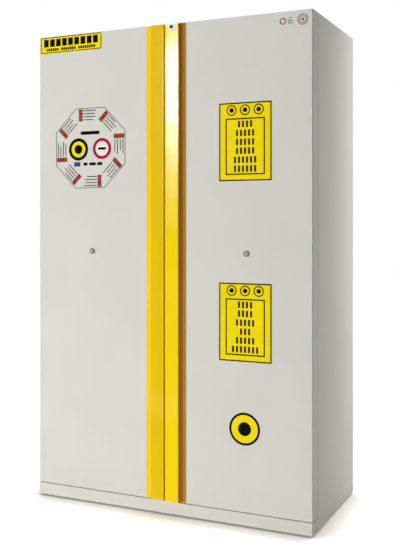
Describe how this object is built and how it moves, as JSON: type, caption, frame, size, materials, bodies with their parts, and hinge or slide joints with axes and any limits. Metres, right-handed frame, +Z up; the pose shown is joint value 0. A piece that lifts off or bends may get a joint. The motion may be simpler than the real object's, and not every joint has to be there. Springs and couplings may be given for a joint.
{
  "type": "safety storage cabinet",
  "caption": "Tall fire-resistant storage cabinet with two hinged doors, full-height pull handles, tray shelves, sumps and roof air spigots.",
  "frame": {"origin": "on the floor, at the middle of the whole cabinet's bounding box seen from above", "axes": "+Z up, -Y out of the doors towards the user, +X to the user's right facing the doors"},
  "size_m": [1.2, 0.611, 2],
  "materials": {
    "outer_sheet": "satin powder coat",
    "zinc_steel": "zinc plated",
    "insulating_board": "matt board",
    "lining_board": "smooth laminate",
    "baffle_sheet": "powder coat",
    "sump_steel": "galvanised",
    "handle_yellow": "gloss powder coat",
    "lock_metal": "satin chrome",
    "bearing_plastic": "moulded",
    "spigot_sheet": "powder coat",
    "seal_rubber": "matt",
    "foot_metal": "zinc plated"
  },
  "bodies": {
    "cabinet": {"base_frame": "outer_sheet", "side_panel_left": "outer_sheet", "side_panel_right": "outer_sheet", "back_panel": "outer_sheet", "roof_panel": "outer_sheet", "front_frame": "outer_sheet", "top_hinge_rail": "zinc_steel", "shelf_rails": "zinc_steel", "shelf_clips": "zinc_steel", "hinge_pins": "zinc_steel", "foot_nuts": "zinc_steel", "intake_duct": "zinc_steel", "earth_stud": "zinc_steel", "side_insulation": "insulating_board", "back_insulation": "insulating_board", "roof_insulation": "insulating_board", "floor_insulation": "insulating_board", "side_liners": "lining_board", "back_liner": "lining_board", "ceiling_liner": "lining_board", "floor_liner": "lining_board", "centre_partition": "lining_board", "compartment_divider": "lining_board", "rear_baffle": "baffle_sheet", "tray_shelves_left": "baffle_sheet", "tray_shelves_right": "baffle_sheet", "sump_left": "sump_steel", "sump_right": "sump_steel", "upper_tray": "sump_steel", "sump_grids": "sump_steel", "exhaust_spigot": "spigot_sheet", "intake_spigot": "spigot_sheet", "frame_seals": "seal_rubber"},
    "door_left": {"door_skin_left": "outer_sheet", "door_core_left": "insulating_board", "door_lining_left": "outer_sheet", "door_handle_left": "handle_yellow", "hinge_bushes_left": "bearing_plastic", "rod_guides_left": "bearing_plastic", "lock_housing_left": "lock_metal"},
    "lock_left": {"lock_rotor_left": "lock_metal"},
    "upper_bolt_left": {"upper_bolt_rod_left": "zinc_steel"},
    "lower_bolt_left": {"lower_bolt_rod_left": "zinc_steel"},
    "door_right": {"door_skin_right": "outer_sheet", "door_core_right": "insulating_board", "door_lining_right": "outer_sheet", "door_handle_right": "handle_yellow", "hinge_bushes_right": "bearing_plastic", "rod_guides_right": "bearing_plastic", "lock_housing_right": "lock_metal"},
    "lock_right": {"lock_rotor_right": "lock_metal"},
    "upper_bolt_right": {"upper_bolt_rod_right": "zinc_steel"},
    "lower_bolt_right": {"lower_bolt_rod_right": "zinc_steel"},
    "exhaust_flap": {"exhaust_flap": "zinc_steel"},
    "intake_flap": {"intake_flap": "zinc_steel"},
    "foot_front_left": {"foot_front_left": "foot_metal"},
    "foot_front_right": {"foot_front_right": "foot_metal"},
    "foot_rear_left": {"foot_rear_left": "foot_metal"},
    "foot_rear_right": {"foot_rear_right": "foot_metal"}
  },
  "joints": [
    {"name": "door_left_hinge", "type": "hinge", "parent": "cabinet", "child": "door_left", "pos_m": [-0.589, -0.2535, 0.0575], "axis": [0, 0, -1], "range_deg": [0, 110]},
    {"name": "lock_left_turn", "type": "hinge", "parent": "door_left", "child": "lock_left", "pos_m": [-0.34, -0.2895, 1.041], "axis": [0, -1, 0], "range_deg": [0, 90]},
    {"name": "upper_bolt_left_slide", "type": "slide", "parent": "door_left", "child": "upper_bolt_left", "axis": [0, 0, 1], "range_m": [0, 0.01415]},
    {"name": "lower_bolt_left_slide", "type": "slide", "parent": "door_left", "child": "lower_bolt_left", "axis": [0, 0, -1], "range_m": [0, 0.01414]},
    {"name": "door_right_hinge", "type": "hinge", "parent": "cabinet", "child": "door_right", "pos_m": [0.589, -0.2535, 0.0575], "axis": [0, 0, 1], "range_deg": [0, 110]},
    {"name": "lock_right_turn", "type": "hinge", "parent": "door_right", "child": "lock_right", "pos_m": [0.34, -0.2895, 1.041], "axis": [0, -1, 0], "range_deg": [0, 90]},
    {"name": "upper_bolt_right_slide", "type": "slide", "parent": "door_right", "child": "upper_bolt_right", "axis": [0, 0, 1], "range_m": [0, 0.01415]},
    {"name": "lower_bolt_right_slide", "type": "slide", "parent": "door_right", "child": "lower_bolt_right", "axis": [0, 0, -1], "range_m": [0, 0.01414]},
    {"name": "exhaust_flap_turn", "type": "hinge", "parent": "cabinet", "child": "exhaust_flap", "pos_m": [-0.15, 0.2005, 1.938], "axis": [1, 0, 0], "range_deg": [0, 90]},
    {"name": "intake_flap_turn", "type": "hinge", "parent": "cabinet", "child": "intake_flap", "pos_m": [0.15, 0.2005, 1.938], "axis": [1, 0, 0], "range_deg": [0, 90]},
    {"name": "foot_front_left_adjust", "type": "slide", "parent": "cabinet", "child": "foot_front_left", "axis": [0, 0, -1], "range_m": [0, 0.015]},
    {"name": "foot_front_right_adjust", "type": "slide", "parent": "cabinet", "child": "foot_front_right", "axis": [0, 0, -1], "range_m": [0, 0.015]},
    {"name": "foot_rear_left_adjust", "type": "slide", "parent": "cabinet", "child": "foot_rear_left", "axis": [0, 0, -1], "range_m": [0, 0.015]},
    {"name": "foot_rear_right_adjust", "type": "slide", "parent": "cabinet", "child": "foot_rear_right", "axis": [0, 0, -1], "range_m": [0, 0.015]}
  ],
  "couplings": [
    {"joint": "lock_left_turn", "follows": "lower_bolt_left_slide", "rad_per_m": 111.07},
    {"joint": "upper_bolt_left_slide", "follows": "lower_bolt_left_slide", "ratio": 1},
    {"joint": "lock_right_turn", "follows": "lower_bolt_right_slide", "rad_per_m": 111.07},
    {"joint": "upper_bolt_right_slide", "follows": "lower_bolt_right_slide", "ratio": 1}
  ]
}
